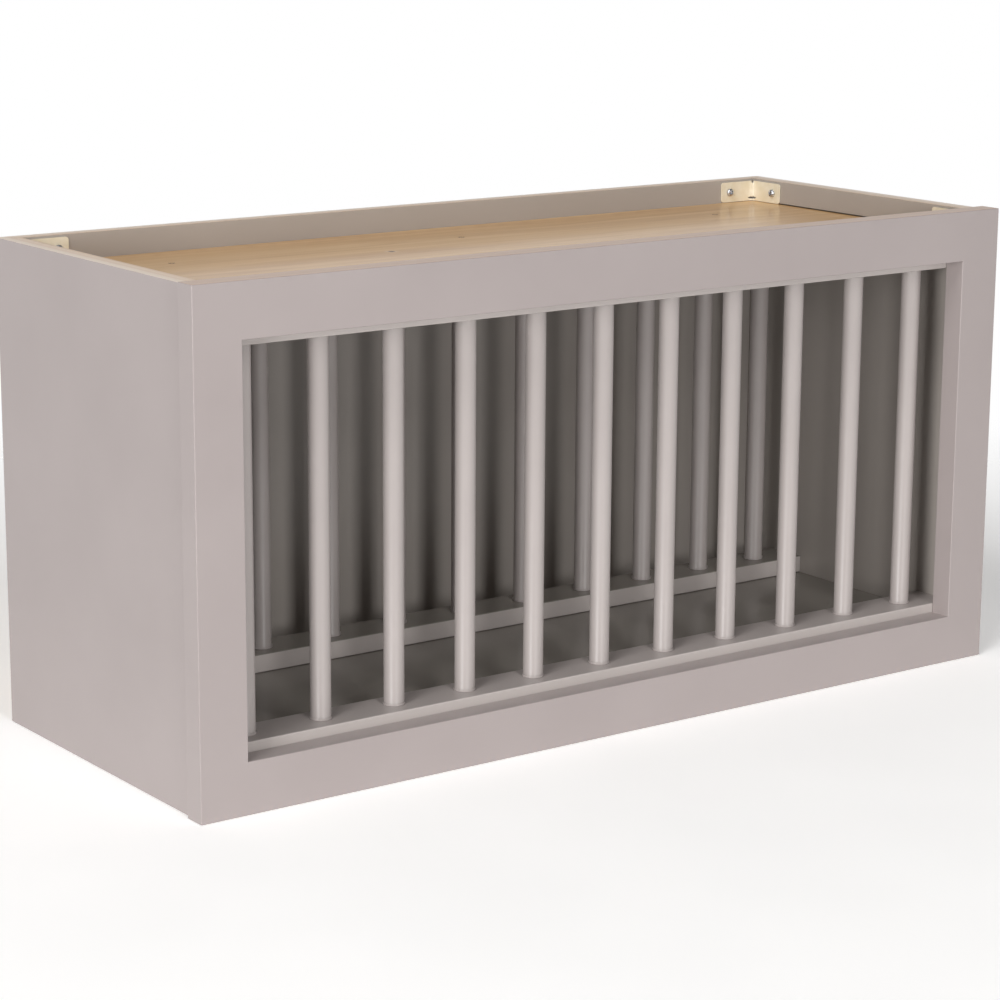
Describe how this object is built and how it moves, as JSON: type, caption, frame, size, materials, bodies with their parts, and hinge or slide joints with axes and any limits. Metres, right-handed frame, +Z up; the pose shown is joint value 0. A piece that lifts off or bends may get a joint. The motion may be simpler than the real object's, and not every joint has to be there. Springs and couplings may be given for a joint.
{
  "type": "plate rack",
  "caption": "Wall box with a face frame and rows of upright dowels between bored rails; plates stand on edge in the gaps.",
  "frame": {"origin": "under the middle of the rack, on the surface that it stands on", "axes": "+X to the right as seen from the front, the open front faces -Y, the wall side faces +Y, +Z up"},
  "size_m": [0.762, 0.2984, 0.381],
  "materials": {
    "painted_wood": "taupe cabinet paint, semi-gloss",
    "dark_lining": "grey lining finish, semi-gloss",
    "bare_ply": "bare birch plywood, clear sealed",
    "enamelled_brackets": "cream enamel, glossy",
    "plated_screws": "zinc plated"
  },
  "bodies": {
    "root": {"back_board": "dark_lining", "bottom_panel": "dark_lining", "frame_bottom_rail": "painted_wood", "frame_top_rail": "painted_wood", "front_dowel_01": "painted_wood", "front_dowel_02": "painted_wood", "front_dowel_03": "painted_wood", "front_dowel_04": "painted_wood", "front_dowel_05": "painted_wood", "front_dowel_06": "painted_wood", "front_dowel_07": "painted_wood", "front_dowel_08": "painted_wood", "front_dowel_09": "painted_wood", "front_dowel_10": "painted_wood", "front_dowel_11": "painted_wood", "front_left_bracket": "enamelled_brackets", "front_left_bracket_screw_1": "plated_screws", "front_left_bracket_screw_2": "plated_screws", "front_lower_dowel_rail": "painted_wood", "front_right_bracket": "enamelled_brackets", "front_right_bracket_screw_1": "plated_screws", "front_right_bracket_screw_2": "plated_screws", "front_upper_dowel_rail": "painted_wood", "left_side_panel": "painted_wood", "left_stile": "painted_wood", "lower_rail_screw_1": "plated_screws", "lower_rail_screw_2": "plated_screws", "lower_rail_screw_3": "plated_screws", "lower_rail_screw_4": "plated_screws", "rear_dowel_01": "painted_wood", "rear_dowel_02": "painted_wood", "rear_dowel_03": "painted_wood", "rear_dowel_04": "painted_wood", "rear_dowel_05": "painted_wood", "rear_dowel_06": "painted_wood", "rear_dowel_07": "painted_wood", "rear_dowel_08": "painted_wood", "rear_dowel_09": "painted_wood", "rear_dowel_10": "painted_wood", "rear_dowel_11": "painted_wood", "rear_left_bracket": "enamelled_brackets", "rear_left_bracket_screw_1": "plated_screws", "rear_left_bracket_screw_2": "plated_screws", "rear_lower_dowel_rail": "painted_wood", "rear_right_bracket": "enamelled_brackets", "rear_right_bracket_screw_1": "plated_screws", "rear_right_bracket_screw_2": "plated_screws", "rear_upper_dowel_rail": "painted_wood", "right_side_panel": "painted_wood", "right_stile": "painted_wood", "top_panel": "bare_ply", "upper_rail_screw_1": "plated_screws", "upper_rail_screw_2": "plated_screws", "upper_rail_screw_3": "plated_screws", "upper_rail_screw_4": "plated_screws", "upper_rail_screw_5": "plated_screws", "upper_rail_screw_6": "plated_screws"}
  },
  "joints": []
}
